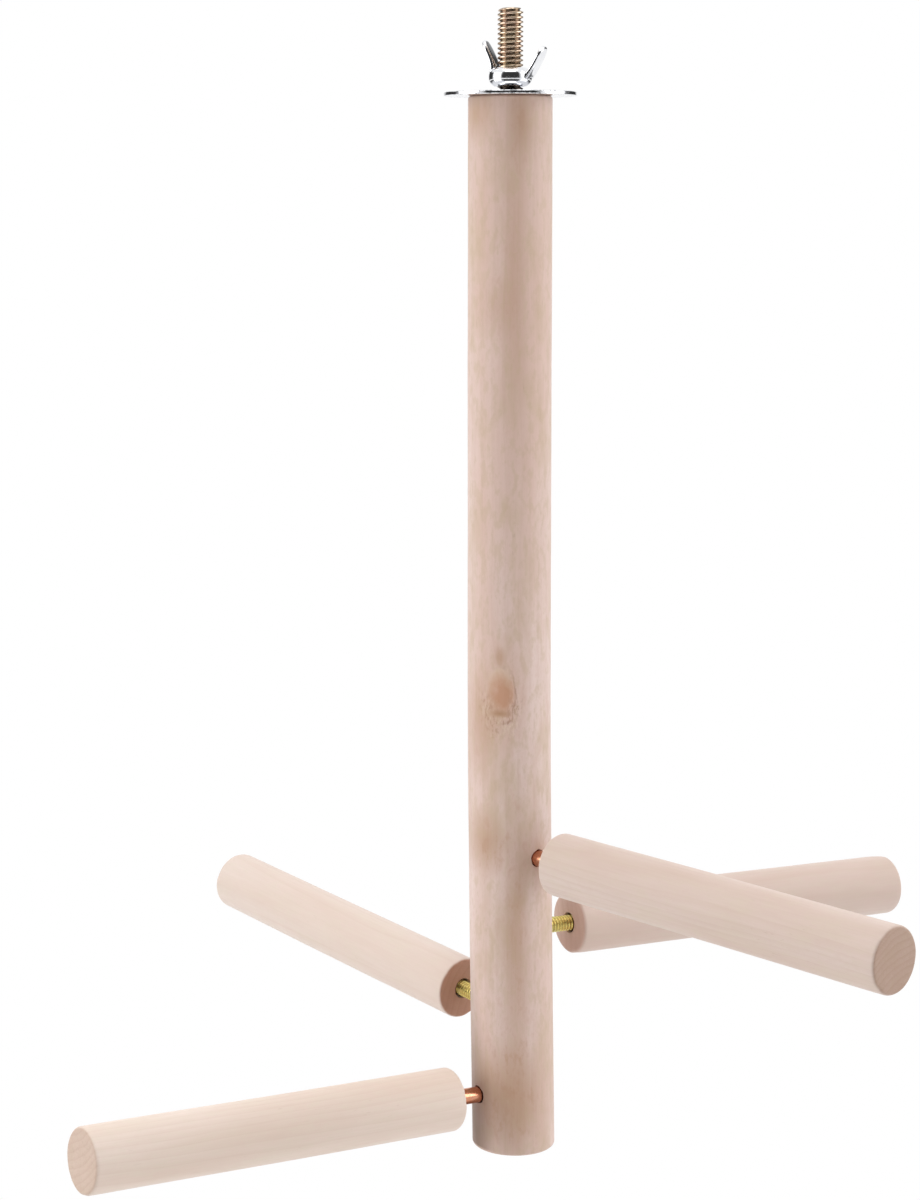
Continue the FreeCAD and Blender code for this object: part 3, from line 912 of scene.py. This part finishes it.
# A floor that is matt to the object and glows to the camera, greyer near its middle, where
# the glow's share rises with distance from 0.75 to 1.
def makeFloor():
    mesh = bpy.data.meshes.new("studioFloor")
    s, h = studio["floorSize"], studio["floorHeight"]
    mesh.from_pydata([(-s, -s, h), (s, -s, h), (s, s, h), (-s, s, h)], [], [(0, 1, 2, 3)])
    floor = bpy.data.objects.new("studioFloor", mesh)
    bpy.context.scene.collection.objects.link(floor)
    fixed = {"Base Color": (0.9, 0.9, 0.9, 1), "Roughness": 0.9}
    material, tree, shader = newMaterial("studioFloor", fixed)
    path = addNode(tree, "ShaderNodeLightPath").outputs
    glow = addNode(tree, "ShaderNodeEmission", {"Color": (1, 1, 1, 1), "Strength": 1.0})
    out = vectorCalc(tree, "LENGTH", addNode(tree, "ShaderNodeTexCoord").outputs["Object"])
    white = remap(tree, out, studio["fade"][0], studio["fade"][1], 0.75, 1.0)
    seen = calc(tree, "MAXIMUM", path["Is Camera Ray"], path["Is Glossy Ray"])
    shaders = {0: times(tree, seen, white), 1: shader.outputs[0], 2: glow.outputs[0]}
    mixed = addNode(tree, "ShaderNodeMixShader", shaders).outputs[0]
    tree.links.new(mixed, tree.get_output_node("ALL").inputs["Surface"])
    mesh.materials.append(material)


# White to the camera. On the object a soft grey falls off towards the camera's side, and
# bright metal mirrors a dark room in front, white screens to both sides, a dark gap past
# each, and the white backdrop.
def makeWorld():
    world = bpy.data.worlds.new("studio")
    bpy.context.scene.world = world
    world.use_nodes = True
    tree = world.node_tree
    tree.nodes.clear()
    x, y, z = addNode(tree, "ShaderNodeSeparateXYZ",
                      {0: addNode(tree, "ShaderNodeTexCoord").outputs["Generated"]}).outputs
    toFront = calc(tree, "MULTIPLY", y, -1.0)
    level = calc(tree, "SQRT", calc(tree, "ADD", times(tree, x, x), times(tree, y, y)))
    facing = calc(tree, "DIVIDE", toFront, calc(tree, "MAXIMUM", level, 0.001))
    plain = remap(tree, toFront, 0.1, 0.9, studio["ambient"], studio["frontAmbient"])
    room = remap(tree, facing, studio["room"][0], studio["room"][1])
    room = times(tree, room, remap(tree, z, 0.85, 0.65))
    gap = times(tree, remap(tree, facing, -0.22, -0.36), remap(tree, facing, -0.95, -0.86))
    dark = calc(tree, "MAXIMUM", room, times(tree, gap, remap(tree, z, 0.50, 0.35)))
    mirrored = remap(tree, dark, 0.0, 1.0, 1.0, 0.04)
    path = addNode(tree, "ShaderNodeLightPath").outputs
    glossy = path["Is Glossy Ray"]
    notGlossy = calc(tree, "SUBTRACT", 1.0, glossy)
    strength = calc(tree, "ADD", times(tree, glossy, mirrored), times(tree, notGlossy, plain))
    direct = calc(tree, "MAXIMUM", path["Is Camera Ray"], path["Is Transmission Ray"])
    strength = calc(tree, "MAXIMUM", strength, direct)
    shade = addNode(tree, "ShaderNodeBackground", {"Color": (1, 1, 1, 1), "Strength": strength})
    addNode(tree, "ShaderNodeOutputWorld", {"Surface": shade.outputs[0]})


# Square soft lamps, each turned from its place to the aim.
def makeLamps():
    for number, (place, size, watts) in enumerate(studio["lamps"]):
        lamp = bpy.data.lights.new("softbox%d" % number, "AREA")
        lamp.size, lamp.energy = size, watts
        holder = bpy.data.objects.new("softbox%d" % number, lamp)
        holder.location = place
        holder.rotation_mode = "QUATERNION"
        holder.rotation_quaternion = (Vector(studio["aim"]) - Vector(place)).to_track_quat("-Z", "Y")
        bpy.context.scene.collection.objects.link(holder)


view = {
    "focal": 2568.65,              # pixels of the 920 x 1200 frame
    "tilt": 0.08261, "roll": 0.00136, "yaw": -0.00521,
    "place": (-28.67 * mm, -770.5 * mm, -30.0 * mm),
    "shift": (-59.0, -190.0),      # pixels
    "tall": 1200,
    "sensor": 36.0,
}


# The lens is focal / tall x sensor. The camera looks along +Y, then rolls, tilts and yaws.
def makeCamera():
    data = bpy.data.cameras.new("shot")
    data.sensor_width, data.sensor_fit = view["sensor"], "AUTO"
    data.lens = view["focal"] / view["tall"] * view["sensor"]
    data.shift_x, data.shift_y = -view["shift"][0] / view["tall"], view["shift"][1] / view["tall"]
    data.clip_start, data.clip_end = 0.05, 30
    camera = bpy.data.objects.new("shot", data)
    camera.location = view["place"]
    aim = Matrix.Rotation(-view["yaw"], 3, "Z") @ Matrix.Rotation(math.pi / 2 - view["tilt"], 3, "X")
    camera.rotation_euler = (aim @ Matrix.Rotation(-view["roll"], 3, "Z")).to_euler()
    bpy.context.scene.collection.objects.link(camera)
    bpy.context.scene.camera = camera


makeFloor()
makeWorld()
makeLamps()
makeCamera()
bpy.context.scene.view_settings.view_transform = "Standard"
print("studio and camera made")
